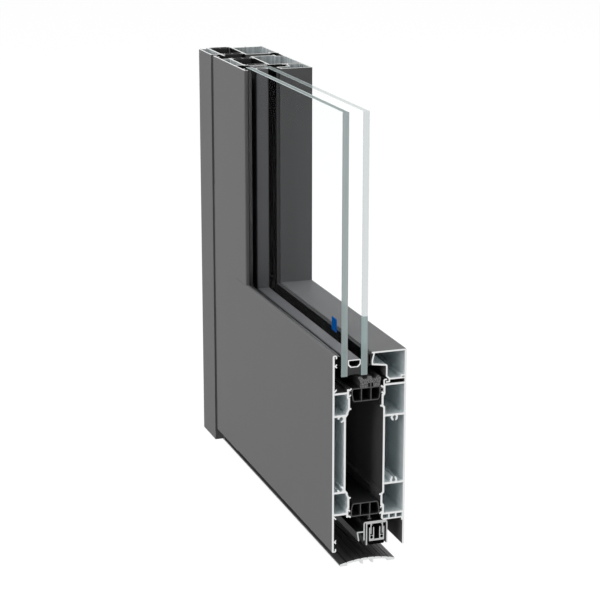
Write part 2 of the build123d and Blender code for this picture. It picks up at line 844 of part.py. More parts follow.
with BuildPart() as jamb_interior_shell:
    with BuildSketch(jamb_plane):
        block(break_far, -jamb_leg, leaf_depth, jamb_width)
        seat_near = shoulder_depth + gasket_seat_lip
        chamber_near = break_far + wall
        chamber_end = jamb_width - wall
        block(chamber_near, wall - jamb_leg, seat_near - wall, chamber_end, mode=Mode.SUBTRACT)
        block(chamber_near, gasket_seat + wall - jamb_leg, inside_wall, chamber_end, mode=Mode.SUBTRACT)
        block(seat_near, -jamb_leg, inside_wall, gasket_seat - jamb_leg, mode=Mode.SUBTRACT)
        block(break_far, jamb_width, break_far + wall, jamb_back)
        block(anchor_depth, jamb_width, anchor_depth + lip, jamb_width + anchor_lip)
        block(inside_wall, jamb_width, leaf_depth, jamb_width + anchor_lip)
        jaws(break_far, -1, jamb_front_groove, 1)
        jaws(break_far, -1, jamb_back, -1)
    extrude(amount=section_height)
    with BuildSketch(jamb_plane):
        block(wall, -jamb_stop, break_far, 0)
    extrude(amount=connector_height, mode=Mode.SUBTRACT)

with BuildPart() as jamb_front_bar:
    with BuildSketch(jamb_plane):
        bar_section(jamb_body, break_far, jamb_front_groove, 1, upright_bar, 1)
    extrude(amount=section_height)
    with BuildSketch(jamb_plane):
        block(wall, -jamb_stop, break_far, 0)
    extrude(amount=connector_height, mode=Mode.SUBTRACT)

with BuildPart() as jamb_back_bar:
    with BuildSketch(jamb_plane):
        bar_section(jamb_body, break_far, jamb_back, -1, upright_bar, 1)
    extrude(amount=section_height)

with BuildPart() as jamb_gasket:
    with BuildSketch(jamb_plane.offset(floor_gap)):
        reach = clearance - shadow_gap - stile_width + stile_inside
        block(shoulder_depth + gasket_seat_lip, -jamb_leg, inside_wall, gasket_seat - jamb_leg)
        block(shoulder_depth + clearance, reach, inside_wall + gasket_fit, -jamb_leg)
        bulb = shoulder_depth + clearance + gasket_wall
        root = -jamb_leg - gasket_wall
        block(bulb, reach + gasket_wall, inside_wall - gasket_wall, root, mode=Mode.SUBTRACT)
    extrude(amount=upright_height)

pin_plane = Plane(origin=(x_pin, y_face + pin_depth, floor_gap), z_dir=(0, 0, 1))
half_gap = shadow_gap / 2
knuckle_height = upright_height / knuckle_count

with BuildPart() as jamb_hinge_flap:
    with BuildSketch(pin_plane):
        block(-half_gap, knuckle_radius - flap, flap - half_gap, stop_depth - pin_depth)
    extrude(amount=upright_height)
    for number in range(0, knuckle_count, 2):
        with BuildSketch(pin_plane.offset(number * knuckle_height + clearance / 2)):
            block(-half_gap, knuckle_radius - flap, 0, knuckle_radius)
            Circle(knuckle_radius)
        extrude(amount=knuckle_height - clearance)
    with BuildSketch(pin_plane):
        Circle(pin_radius + pin_fit)
    extrude(amount=upright_height, mode=Mode.SUBTRACT)

with BuildPart() as leaf_hinge_flap:
    with BuildSketch(pin_plane):
        block(half_gap - flap, -knuckle_radius, half_gap, groove_depth - pin_depth)
    extrude(amount=upright_height)
    for number in range(1, knuckle_count, 2):
        with BuildSketch(pin_plane.offset(number * knuckle_height + clearance / 2)):
            block(0, -knuckle_radius, half_gap, flap - knuckle_radius)
            Circle(knuckle_radius)
        extrude(amount=knuckle_height - clearance)
    with BuildSketch(pin_plane):
        Circle(pin_radius + pin_fit)
    extrude(amount=upright_height, mode=Mode.SUBTRACT)

with BuildPart() as hinge_pin:
    with BuildSketch(pin_plane):
        Circle(pin_radius)
    extrude(amount=upright_height)

pieces = {
    "jamb_exterior_shell": jamb_exterior_shell.part,
    "jamb_interior_shell": jamb_interior_shell.part,
    "jamb_front_bar": jamb_front_bar.part,
    "jamb_back_bar": jamb_back_bar.part,
    "jamb_gasket": jamb_gasket.part,
    "threshold": threshold.part,
    "threshold_connector": threshold_connector.part,
    "jamb_hinge_flap": jamb_hinge_flap.part,
    "hinge_pin": hinge_pin.part,
    "leaf_hinge_flap": leaf_hinge_flap.part,
    "stile_exterior_shell": stile_exterior_shell.part,
    "stile_interior_shell": stile_interior_shell.part,
    "stile_glazing_bar": stile_glazing_bar.part,
    "stile_rebate_bar": stile_rebate_bar.part,
    "stile_foam": stile_foam.part,
    "stile_gasket": stile_gasket.part,
    "rail_exterior_shell": rail_exterior_shell.part,
    "rail_interior_shell": rail_interior_shell.part,
    "rail_upper_bar": rail_upper_bar.part,
    "rail_lower_bar": rail_lower_bar.part,
    "rail_foam": rail_foam.part,
    "bottom_bead": bottom_bead.part,
    "side_bead": side_bead.part,
    "outer_pane": outer_pane.part,
    "inner_pane": inner_pane.part,
    "spacer_bar": spacer_bar.part,
    "edge_sealant": edge_sealant.part,
    "exterior_glazing_gasket": exterior_glazing_gasket.part,
    "interior_glazing_gasket": interior_glazing_gasket.part,
    "seal_adapter": seal_adapter.part,
    "seal_housing": seal_housing.part,
    "seal_carrier": seal_carrier.part,
    "seal_lip_strip": seal_lip_strip.part,
}
os.makedirs("parts", exist_ok=True)
for name, piece in pieces.items():
    piece.label = name
    export_step(piece, f"parts/{name}.step")
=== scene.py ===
import math

import bpy
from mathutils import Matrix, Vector


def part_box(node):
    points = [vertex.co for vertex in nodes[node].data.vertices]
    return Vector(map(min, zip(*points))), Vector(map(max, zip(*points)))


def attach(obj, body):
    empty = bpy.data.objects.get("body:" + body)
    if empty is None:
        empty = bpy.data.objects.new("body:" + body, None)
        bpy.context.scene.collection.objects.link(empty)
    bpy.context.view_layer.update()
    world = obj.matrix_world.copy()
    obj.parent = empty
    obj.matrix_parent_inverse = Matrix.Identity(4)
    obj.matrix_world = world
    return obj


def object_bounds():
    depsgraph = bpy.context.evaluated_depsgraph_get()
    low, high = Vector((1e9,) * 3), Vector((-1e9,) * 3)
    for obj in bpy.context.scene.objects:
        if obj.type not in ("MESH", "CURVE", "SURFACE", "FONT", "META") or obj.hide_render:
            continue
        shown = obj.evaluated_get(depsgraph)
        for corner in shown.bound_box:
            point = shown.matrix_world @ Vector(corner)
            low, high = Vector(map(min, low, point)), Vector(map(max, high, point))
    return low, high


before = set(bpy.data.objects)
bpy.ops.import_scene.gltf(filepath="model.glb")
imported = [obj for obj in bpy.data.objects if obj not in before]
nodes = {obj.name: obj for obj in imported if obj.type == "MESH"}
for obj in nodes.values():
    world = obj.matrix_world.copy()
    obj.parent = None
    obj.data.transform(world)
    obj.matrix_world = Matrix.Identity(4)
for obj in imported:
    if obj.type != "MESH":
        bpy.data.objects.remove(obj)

cad_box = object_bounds()

# The viewpoint: a long lens, a little above the cut end of the leaf and in front of its exterior face, as in
# the photograph.
lens_length = 115.7
film_width = 36.0
turn = math.radians(71.05)
tilt = math.radians(15.3)
standpoint = (1.90505, -0.6467, 0.7636)
lens_data = bpy.data.cameras.new("viewpoint")
lens_data.lens = lens_length
lens_data.sensor_width = film_width
viewpoint = bpy.data.objects.new("viewpoint", lens_data)
viewpoint.location = standpoint
viewpoint.rotation_euler = (math.pi / 2 - tilt, 0, turn)
bpy.context.scene.collection.objects.link(viewpoint)
bpy.context.scene.camera = viewpoint
bpy.context.scene.view_settings.view_transform = "Standard"

# The room: a white sky that lights the part evenly and weakly from all sides. The camera, mirrors and clear
# glass see it as plain white.
sky_light = 0.15
plain_white = (1, 1, 1, 1)


def operation(name, reflected=False):
    """One arithmetic sign between a signal and a signal or number, as a Math node."""

    def combine(self, other):
        first, second = (other, self) if reflected else (self, other)
        return self.finish.node("ShaderNodeMath", {"operation": name}, {0: first, 1: second})

    return combine


class Signal:
    """What one shader socket gives: a number or colour that may change over a surface."""

    def __init__(self, finish, socket):
        self.finish = finish
        self.socket = socket

    __add__ = __radd__ = operation("ADD")
    __mul__ = __rmul__ = operation("MULTIPLY")
    __sub__ = operation("SUBTRACT")
    __rsub__ = operation("SUBTRACT", reflected=True)
    __gt__ = operation("GREATER_THAN")
    __lt__ = operation("LESS_THAN")
    __and__ = operation("MINIMUM")
    __or__ = operation("MAXIMUM")


def combined(masks):
    whole = masks[0]
    for mask in masks[1:]:
        whole = whole | mask
    return whole


class Finish:
    """The node tree of a finish, and the one way to add a node to it."""

    def __init__(self, owner):
        owner.use_nodes = True
        self.owner = owner
        self.tree = owner.node_tree
        self.tree.nodes.clear()

    def node(self, kind, settings=None, values=None, output=0):
        made = self.tree.nodes.new(kind)
        for key, value in (settings or {}).items():
            setattr(made, key, value)
        for key, value in (values or {}).items():
            if isinstance(value, Signal):
                self.tree.links.new(value.socket, made.inputs[key])
            else:
                made.inputs[key].default_value = value
        return Signal(self, made.outputs[output])

    def blend(self, share, first, second):
        """A colour that goes from the first to the second with share."""
        return self.node("ShaderNodeMix", {"data_type": "RGBA"}, {0: share, 6: first, 7: second}, output=2)

    def ramp(self, value, start, end):
        """0 up to start, 1 from end on, and even in between."""
        return self.node("ShaderNodeMapRange", values={0: value, 1: start, 2: end})

    def place(self):
        """Where a point lies in the part, in metres, as three signals."""
        point = self.node("ShaderNodeTexCoord", output="Object")
        apart = self.node("ShaderNodeSeparateXYZ", values={0: point}).socket.node
        return [Signal(self, socket) for socket in apart.outputs]

    def grain(self, pitch, detail=2.0, rough=0.5):
        """Noise from 0 to 1. pitch is the size of its patches in metres: one size, or X, Y and Z."""
        sizes = pitch if isinstance(pitch, tuple) else (pitch, pitch, pitch)
        point = self.node("ShaderNodeTexCoord", output="Object")
        stretched = self.node("ShaderNodeMapping", values={0: point, "Scale": [1 / size for size in sizes]})
        values = {"Vector": stretched, "Scale": 1.0, "Detail": detail, "Roughness": rough}
        return self.node("ShaderNodeTexNoise", values=values)

    def relief(self, height, depth, strength=0.3):
        """Fine relief. depth is how far, in metres, the surface seems to rise where height is 1."""
        return self.node("ShaderNodeBump", values={"Strength": strength, "Distance": depth, "Height": height})

    def looked_at(self):
        """1 where the camera, a mirror or clear glass looks, and 0 for the light that falls on the part."""
        rays = ("Is Camera Ray", "Is Glossy Ray", "Is Transmission Ray")
        return combined([self.node("ShaderNodeLightPath", output=ray) for ray in rays])

    def principled(self, values):
        return self.node("ShaderNodeBsdfPrincipled", values=values)

    def mixed(self, share, first, second):
        """A shader that goes from the first to the second with share."""
        return self.node("ShaderNodeMixShader", values={0: share, 1: first, 2: second})

    def surface(self, shader, kind="ShaderNodeOutputMaterial"):
        end = self.tree.nodes.new(kind)
        self.tree.links.new(shader.socket, end.inputs["Surface"])
        return self.owner


sky = bpy.data.worlds.new("studio")
bpy.context.scene.world = sky
air = Finish(sky)
strength = air.looked_at() * (1 - sky_light) + sky_light
glow = air.node("ShaderNodeBackground", values={"Color": plain_white, "Strength": strength})
air.surface(glow, "ShaderNodeOutputWorld")

# The studio lamps: large soft ones in front, one towards the cut end and one to the left, one overhead, and
# one behind for the interior side. Each is given its place, its width in metres and its power in watts.
lamps = (
    ("front_lamp", (1.3, -2.7, 1.4), 2.0, 39.0),
    ("left_lamp", (-1.1, -2.9, 2.0), 2.4, 39.0),
    ("top_lamp", (0.4, 0.4, 3.2), 2.2, 46.0),
    ("back_lamp", (-0.9, 3.0, 1.7), 2.4, 36.0),
)
lamp_target = Vector((0, 0, 0.2))
for name, spot, size, power in lamps:
    panel = bpy.data.lights.new(name, "AREA")
    panel.size = size
    panel.energy = power
    lamp = bpy.data.objects.new(name, panel)
    lamp.location = spot
    lamp.rotation_euler = (lamp_target - Vector(spot)).to_track_quat("-Z", "Y").to_euler()
    bpy.context.scene.collection.objects.link(lamp)

# The floor: a wide pale sheet just under the part. It carries the part's soft shadow, is otherwise white to
# the camera, and is clear from below.
floor_radius = 9.0
floor_level = -0.0002
floor_grey = (0.3, 0.3, 0.3, 1)
floor_glow = 1.38
glow_share = 0.7
bpy.ops.object.select_all(action="DESELECT")
bpy.ops.mesh.primitive_circle_add(
    vertices=64, radius=floor_radius, fill_type="NGON", location=(0, 0, floor_level))
floor = bpy.context.object
floor.name = "floor"
bpy.ops.object.transform_apply(location=True, rotation=True, scale=True)
ground = Finish(bpy.data.materials.new("pale_floor"))
matt = ground.node("ShaderNodeBsdfDiffuse", values={"Color": floor_grey})
white = ground.node("ShaderNodeEmission", values={"Color": plain_white, "Strength": floor_glow})
upper = ground.mixed(ground.looked_at() * glow_share, matt, white)
clear = ground.node("ShaderNodeBsdfTransparent")
under = ground.node("ShaderNodeNewGeometry", output="Backfacing")
floor.data.materials.append(ground.surface(ground.mixed(under, upper, clear)))

# Aluminium profiles of leaf and jamb: pressed hollow, powder coated grey outside, bare from the press inside
# their chambers, and bright where the section is sawn through. Each takes its chambers from its own drawing:
# how deep a point lies behind the exterior face, and how far from the edge that faces the glass.
y_face = cad_box[0].y
x_cut = cad_box[1].x
z_top = cad_box[1].z
jamb_stop = 0.013
z_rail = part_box("rail_exterior_shell")[1].z
x_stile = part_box("stile_exterior_shell")[1].x
x_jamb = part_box("jamb_exterior_shell")[1].x - jamb_stop
rail_height = 204.5
saw_depth = 0.00006
paint_colour = (0.158, 0.158, 0.16, 1)
paint_shade = (0.146, 0.146, 0.149, 1)
paint_gloss = 0.1
paint_rough, peel_rough = 0.44, 0.14
peel_pitch = 0.0016
peel_height = 0.12
cloud_pitch = 0.09
press_light = (0.88, 0.945, 0.96, 1)
press_dark = (0.73, 0.79, 0.805, 1)
press_metal = 0.15
press_rough, line_rough = 0.28, 0.22
die_line_length = 0.35
die_line_contrast = 2.0
die_line_height = 0.5
# Painted light: a lighter grey for the hidden faces deep inside the rail's cavity.
painted_deep_light = (0.36, 0.36, 0.365, 1)
painted_light_depth = 0.07
saw_light = (0.8, 0.805, 0.805, 1)
saw_dark = (0.7, 0.71, 0.71, 1)
saw_rough, blade_rough = 0.34, 0.16
blade_pitch = (0.0006, 0.012, 0.0006)
blade_height = 0.25
profile_relief = 0.00012


def faded(colour, share):
    return tuple(value * share for value in colour[:3]) + (1,)


# Each way holds its press colours and the painted shade that colours its hidden faces.
level = {
    "axis": 0,
    "line_width": 0.0007,
    "press_dark": press_dark,
    "press_light": press_light,
    "painted_hidden_shade": (0.075, 0.075, 0.076, 1),
}
# The upright press colours are darker copies of the level ones, painted shade for the deep upright chambers,
# and the upright hidden faces are painted near black as shade.
upright = {
    "axis": 2,
    "line_width": 0.003,
    "press_dark": (0.3, 0.325, 0.33, 1),
    "press_light": faded(press_light, 0.78),
    "painted_hidden_shade": (0.007, 0.007, 0.0072, 1),
}


def drawn_lines(axis, width, length):
    """The pitch of lines that run along an axis, 0 for X and 2 for Z."""
    pitch = [width, width, width]
    pitch[axis] = length
    return tuple(pitch)


def sawn_faces(finish):
    """Where the section is cut through, at its open end and along its top."""
    x, y, z = finish.place()
    return (x > x_cut - saw_depth) | (z > z_top - saw_depth)


def along_rail(finish):
    x, y, z = finish.place()
    return y - y_face, z_rail - z


def along_stile(finish):
    x, y, z = finish.place()
    return y - y_face, x_stile - x


def along_jamb(finish):
    x, y, z = finish.place()
    return y - y_face, x_jamb - x


def chamber(depth, away, near, low, far, high):
    """A box in a profile's drawing, in millimetres."""
    across = (depth > near / 1000) & (depth < far / 1000)
    return across & (away > low / 1000) & (away < high / 1000)


def chambers(finish, drawing, boxes):
    """All the boxes of a profile's drawing together."""
    depth, away = drawing(finish)
    return combined([chamber(depth, away, *box) for box in boxes])


def both_halves(boxes):
    """Boxes in the rail's upper half, and their mirror images in its lower half."""
    return boxes + tuple((near, rail_height - high, far, rail_height - low) for near, low, far, high in boxes)


rail_cavity = (12, 41, 54.5, 163.5)


def painted_profile(name, way, inside, behind=None):
    """The finish of one profile. way says whether it lies level or stands upright. inside gives its bare
    chambers, and behind the hidden faces, which are painted in dark shade."""
    finish = Finish(bpy.data.materials.new(name))
    hollow = inside(finish)
    sawn = sawn_faces(finish)
    coated = 1 - (hollow | sawn)
    pressed = hollow * (1 - sawn)
    lines = finish.grain(drawn_lines(way["axis"], way["line_width"], die_line_length), detail=3.0, rough=0.6)
    die_lines = (lines - 0.5) * die_line_contrast + 0.5
    peel = finish.grain(peel_pitch, detail=3.0, rough=0.55)
    cloud = finish.grain(cloud_pitch, detail=2.0)
    blade = finish.grain(blade_pitch, detail=2.0)
    paint = finish.blend(cloud * 0.6 + peel * 0.4, paint_shade, paint_colour)
    if behind:
        # Painted shade on the hidden faces: near black at the cut end, turning deeper inside the rail's
        # cavity to a lighter grey, painted light.
        x, y, z = finish.place()
        inwards = (x_cut - x) * (1 / painted_light_depth) * chambers(finish, along_rail, (rail_cavity,))
        ends = finish.blend(cloud, way["painted_hidden_shade"], faded(way["painted_hidden_shade"], 0.7))
        paint = finish.blend(behind(finish), paint, finish.blend(inwards, ends, painted_deep_light))
    press = finish.blend(die_lines, way["press_dark"], way["press_light"])
    saw = finish.blend(blade, saw_dark, saw_light)
    rough = coated * (paint_rough + peel * peel_rough) + pressed * (press_rough + die_lines * line_rough)
    rough = rough + sawn * (saw_rough + blade * blade_rough)
    height = coated * peel * peel_height + pressed * die_lines * die_line_height + sawn * blade * blade_height
    return finish.surface(finish.principled({
        "Base Color": finish.blend(sawn, finish.blend(hollow, paint, press), saw),
        "Roughness": rough,
        "Metallic": hollow * press_metal | sawn,
        "Normal": finish.relief(height, profile_relief, strength=0.35),
        "Specular IOR Level": paint_gloss,
    }))


def dress(name, material):
    """Puts one finish on a CAD node."""
    data = nodes[name].data
    data.materials.clear()
    data.materials.append(material)


rail_outer_cells = both_halves((
    (1, 39.5, 15.9, 46),
    (1, 46, 17.1, 58),
    (1, 58, 15.4, 62.5),
    (1, 62.5, 13, 103),
))
seat_cells = (53.5, 170.75, 74.9, 175.3)
rail_inner_cells = both_halves((
    (54, 34.7, 76, 44.4),
    (52.2, 44.4, 76, 56.8),
    (54, 56.8, 76, 103),
)) + (seat_cells,)
stile_outer_cells = ((1, 39.5, 11.5, 89),)
stile_inner_cells = ((39, 34.7, 66, 99), (39, 34.7, 76, 92))
jamb_outer_cells = ((1, 1, 12, 47.5),)
jamb_inner_cells = ((39, -9, 67, 47.5), (39, -5, 76, 47.5))
bead_slot = (53, 28.8, 75.2, 34.2)
rail_back = ((1.2, 1.2, 54, 203.3), bead_slot)
stile_back = ((1.2, 1.2, 54, 117), bead_slot)
jamb_back = ((12, -10, 50, 48),)
profiles = {
    "rail_exterior_shell": (level, along_rail, rail_outer_cells, rail_back),
    "rail_interior_shell": (level, along_rail, rail_inner_cells, rail_back),
    "stile_exterior_shell": (upright, along_stile, stile_outer_cells, stile_back),
    "stile_interior_shell": (upright, along_stile, stile_inner_cells, stile_back),
    "jamb_exterior_shell": (upright, along_jamb, jamb_outer_cells, jamb_back),
    "jamb_interior_shell": (upright, along_jamb, jamb_inner_cells, jamb_back),
}
for name, (way, drawing, cells, back) in profiles.items():
    dress(name, painted_profile(name + "_finish", way,
                                lambda finish: chambers(finish, drawing, cells),
                                lambda finish: chambers(finish, drawing, back)))

# Glazing beads: light pressed profiles that snap over the hooks and hold the panes. They are coated like the
# leaf, and bare inside their one slanted hollow, which is given here by its walls in metres.
nose_lean, nose_depth = 0.2247, 0.0431
base_lean, base_away = 0.1457, 0.0066
heel_depth, heel_away, heel_slant = 0.0562, 0.0293, 0.0301
outer_wall, back_wall = 0.0008, 0.0761


def bead_hollow(drawing):
    def inside(finish):
        depth, away = drawing(finish)
        nose = (depth + away * nose_lean > nose_depth) & (away - depth * base_lean < base_away)
        heel = (depth > heel_depth) & (away < heel_away) & (depth - away > heel_slant)
        return (nose | heel) & (away > outer_wall) & (depth < back_wall)
    return inside


dress("bottom_bead", painted_profile("bottom_bead_finish", level, bead_hollow(along_rail)))
dress("side_bead", painted_profile("side_bead_finish", upright, bead_hollow(along_stile)))

# Insulating bars: black glass-filled nylon, pressed hollow and gripped by the aluminium on both sides. The
# saw leaves their thin walls grey and slightly rough.
bar_black = (0.011, 0.011, 0.012, 1)
bar_worn = (0.02, 0.02, 0.021, 1)
bar_sawn = (0.16, 0.16, 0.16, 1)
fibre_light = (0.23, 0.23, 0.232, 1)
fibre_pitch = 0.00045


def nylon(name, way):
    finish = Finish(bpy.data.materials.new(name))
    sawn = sawn_faces(finish)
    lines = finish.grain(drawn_lines(way["axis"], 0.0005, 0.2), detail=2.0)
    fibres = finish.grain(fibre_pitch, detail=3.0)
    cut = finish.blend(fibres, bar_sawn, fibre_light)
    return finish.surface(finish.principled({
        "Base Color": finish.blend(sawn, finish.blend(lines, bar_black, bar_worn), cut),
        "Roughness": sawn * 0.25 + (0.42 + lines * 0.16),
        "Normal": finish.relief(lines + fibres * sawn, 0.0001),
    }))


level_nylon = nylon("rail_bar_nylon", level)
upright_nylon = nylon("upright_bar_nylon", upright)
for name in ("rail_upper_bar", "rail_lower_bar"):
    dress(name, level_nylon)
for name in ("stile_glazing_bar", "stile_rebate_bar", "jamb_front_bar", "jamb_back_bar"):
    dress(name, upright_nylon)

# Foam strips: grey closed-cell polyethylene that fills the rebate under the glass. The cut opens its small
# cells, which read as light and dark specks.
foam_colour = (0.72, 0.72, 0.723, 1)
foam_pore = (0.15, 0.15, 0.152, 1)
foam_wall = (0.94, 0.94, 0.945, 1)
foam_skin = (0.05, 0.05, 0.051, 1)
foam_skin_shade = (0.03, 0.03, 0.031, 1)
cell_size = 0.0009
mottle_pitch = 0.0007
wall_start = 0.56
pore_start, pore_end = 0.35, 0.85
foam = Finish(bpy.data.materials.new("closed_cell_foam"))
point = foam.node("ShaderNodeTexCoord", output="Object")
cells = foam.node("ShaderNodeTexVoronoi", values={"Vector": point, "Scale": 1 / cell_size})
mottle = foam.grain(mottle_pitch, detail=4.0, rough=0.7)
walls = foam.blend(mottle > wall_start, foam_colour, foam_wall)
cut = foam.blend(foam.ramp(cells + mottle * 0.5, pore_start, pore_end), walls, foam_pore)
skin = foam.blend(mottle, foam_skin_shade, foam_skin)
foam.surface(foam.principled({
    "Base Color": foam.blend(sawn_faces(foam), skin, cut),
    "Roughness": 0.86 + mottle * 0.1,
    "Normal": foam.relief(1 - cells, 0.0003, strength=0.8),
}))
for name in ("rail_foam", "stile_foam"):
    dress(name, foam.owner)

# Rubber gaskets: black extruded rubber, pushed into the grooves round the glass and along the edges of leaf
# and jamb. Faint lines run along them from the die, and the sawn ends are dull.
rubber_black = (0.0085, 0.0085, 0.009, 1)
rubber_bloom = (0.017, 0.017, 0.018, 1)
# The inner gasket's fin is painted grey as sheen, and its face against the pane painted near black as shade.
fin_painted_sheen = (0.092, 0.092, 0.096, 1)
fin_dark_painted_sheen = (0.078, 0.078, 0.081, 1)
contact_painted_shade = (0.003, 0.003, 0.0032, 1)
dust_pitch = 0.02
seal_line_width, seal_line_length = 0.0006, 0.12
frame_lines = (0.06, 0.0008, 0.06)
fin_depth = 0.0363


def rubber(name, pitch, gloss, sawn_grey, fin_start=None):
    """A gasket with lines of one pitch. fin_start is how deep behind the exterior face its fin begins,
    painted
    grey as sheen: in front of it the face that touches the pane is painted near black as shade."""
    finish = Finish(bpy.data.materials.new(name))
    lines = finish.grain(pitch, detail=3.0)
    dust = finish.grain(dust_pitch, detail=4.0, rough=0.6)
    skin = finish.blend(lines * 0.5 + dust * 0.5, rubber_black, rubber_bloom)
    if fin_start:
        x, y, z = finish.place()
        # Painted sheen on the fin, painted shade on the face against the pane.
        skin = finish.blend(y > y_face + fin_start, contact_painted_shade, finish.blend(dust, fin_dark_painted_sheen, fin_painted_sheen))
    moulded = finish.principled({
        "Base Color": skin,
        "Roughness": 0.4 + dust * 0.2,
        "Normal": finish.relief(lines, 0.00003),
        "Specular IOR Level": gloss,
    })
    grey = (sawn_grey, sawn_grey, sawn_grey)
    sawn_end = finish.principled({
        "Base Color": finish.blend(lines, faded(grey, 0.7), faded(grey, 1.3)),
        "Roughness": 0.7 + dust * 0.2,
        "Specular IOR Level": 0.0,
    })
    return finish.surface(finish.mixed(sawn_faces(finish), moulded, sawn_end))


upright_lines = drawn_lines(upright["axis"], seal_line_width, seal_line_length)
level_lines = drawn_lines(level["axis"], seal_line_width, seal_line_length)
edge_rubber = rubber("upright_rubber", upright_lines, gloss=0.15, sawn_grey=0.012)
dress("exterior_glazing_gasket", rubber("outer_glazing_rubber", frame_lines, gloss=0.65, sawn_grey=0.01))
dress("interior_glazing_gasket", rubber("inner_glazing_rubber", frame_lines, 0.0, 0.1, fin_depth))
dress("stile_gasket", edge_rubber)
dress("jamb_gasket", edge_rubber)
dress("seal_lip_strip", rubber("level_rubber", level_lines, gloss=0.03, sawn_grey=0.008))

# Double glazing: two clear panes, stuck to the spacer bar. Their ground edges look pale green-grey where the
# glass is cut through, with painted shade below the sight line, on the top edge and on the outer arris, and
# painted highlights on the inner arris and, at the top, on the outer one. The inner pane's edge is lighter
# further up, where daylight comes through it.
glass_tint = (0.992, 0.996, 0.997, 1)
glass_bend = 1.45
glass_shine = 0.03
edge_depth = 0.0001
sight_line = z_rail + 0.002
daylight_line = z_rail + 0.0365
low_fade = 0.0095
arris = 0.0009
# Painted highlight along the glass arrises.
arris_painted_highlight = (0.72, 0.82, 0.81, 1)
streak_pitch = (0.3, 0.0016, 0.3)
ripple_pitch = (0.02, 0.004, 0.02)


def pane_glass(pane, edge_colour, streak_and_arris_shade, painted_shade_low, painted_shade_top, opacity, clear_from):
    """The edge's colour below the sight line and that of its upper edge are darker, painted shade. Above
    clear_from the edge lets light through and keeps only its opacity."""
    finish = Finish(bpy.data.materials.new(pane + "_glass"))
    near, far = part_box(pane)
    x, y, z = finish.place()
    top = z > z_top - edge_depth
    ends = (x > x_cut - edge_depth) | top
    outer_arris = y < near.y + arris
    inner_arris = y > far.y - arris
    streaks = finish.grain(streak_pitch, detail=2.0)
    ripple = finish.grain(ripple_pitch, detail=2.0)
    edge = finish.blend(streaks * 0.7 + ripple * 0.3, streak_and_arris_shade, edge_colour)
    # Painted shade below the sight line, on the top edge and on the outer arris; painted highlights on the
    # inner arris, and on the outer one at the top.
    edge = finish.blend(finish.ramp(z, sight_line, sight_line + low_fade), painted_shade_low, edge)
    edge = finish.blend(outer_arris, edge, streak_and_arris_shade)
    edge = finish.blend(top, edge, painted_shade_top)
    edge = finish.blend(inner_arris | (top & outer_arris), edge, arris_painted_highlight)
    solid = ends * (1 - (z > clear_from) * (1 - opacity))
    ground_edge = finish.principled({
        "Base Color": edge,
        "Roughness": 0.3 + ripple * 0.2,
        "Specular IOR Level": 0.5,
    })
    through = finish.node("ShaderNodeBsdfTransparent", values={"Color": glass_tint})
    shine = finish.node("ShaderNodeBsdfAnisotropic", values={"Color": plain_white, "Roughness": 0.02})
    share = finish.node("ShaderNodeFresnel", values={"IOR": glass_bend})
    outward = 1 - finish.node("ShaderNodeNewGeometry", output="Backfacing")
    face = finish.mixed(share * outward * glass_shine, through, shine)
    return finish.surface(finish.mixed(solid, face, ground_edge))


dress("outer_pane", pane_glass(
    "outer_pane",
    edge_colour=(0.8, 0.95, 0.94, 1),
    streak_and_arris_shade=(0.6, 0.72, 0.71, 1),
    painted_shade_low=(0.58, 0.71, 0.7, 1),
    painted_shade_top=(0.12, 0.17, 0.17, 1),
    opacity=0.94,
    clear_from=sight_line,
))
dress("inner_pane", pane_glass(
    "inner_pane",
    edge_colour=(0.8, 1.0, 0.99, 1),
    streak_and_arris_shade=(0.62, 0.8, 0.79, 1),
    painted_shade_low=(0.6, 0.74, 0.73, 1),
    painted_shade_top=(0.24, 0.31, 0.31, 1),
    opacity=0.48,
    clear_from=daylight_line,
))

# Spacer bar between the panes: a folded aluminium tube, matt grey outside, with its hollow painted in dark
# shade where it shows at the cut. The hollow is given by its place in the drawings of rail and stile, in
# metres.
spacer_grey = (0.108, 0.109, 0.117, 1)
spacer_light = (0.128, 0.129, 0.137, 1)
hollow_painted_shade = (0.02, 0.02, 0.02, 1)
tube_near, tube_far = 0.0162, 0.0284
tube_low, tube_high = 0.0064, 0.0134
spacer = Finish(bpy.data.materials.new("spacer_aluminium"))
sawn = sawn_faces(spacer)
matt_lines = spacer.grain(0.0008, detail=3.0)
depth, rail_away = along_rail(spacer)
depth, stile_away = along_stile(spacer)
in_rail = (rail_away > tube_low) & (rail_away < tube_high)
in_stile = (stile_away > tube_low) & (stile_away < tube_high)
# The hollow's walls are painted in dark shade.
hollow = (depth > tube_near) & (depth < tube_far) & (in_rail | in_stile)
outside = spacer.blend(matt_lines, spacer_grey, spacer_light)
spacer.surface(spacer.principled({
    "Base Color": spacer.blend(sawn, spacer.blend(hollow, outside, hollow_painted_shade), saw_light),
    "Roughness": 0.42 + matt_lines * 0.15,
    "Metallic": sawn,
}))
dress("spacer_bar", spacer.owner)

# Edge sealant: a dark elastic paste that fills the space behind the spacer bar and holds both panes to it. It
# is smoothed with a blade, and a little greyer where it is sawn.
sealant_dark = (0.017, 0.017, 0.018, 1)
sealant_light = (0.028, 0.028, 0.03, 1)
sealant_sawn = (0.034, 0.034, 0.035, 1)
sealant = Finish(bpy.data.materials.new("edge_sealant"))
smear = sealant.grain((0.006, 0.0015, 0.0015), detail=3.0)
skin = sealant.blend(smear, sealant_dark, sealant_light)
sealant.surface(sealant.principled({
    "Base Color": sealant.blend(sawn_faces(sealant), skin, sealant_sawn),
    "Roughness": 0.55 + smear * 0.2,
    "Normal": sealant.relief(smear, 0.0003, strength=0.4),
}))
dress("edge_sealant", sealant.owner)

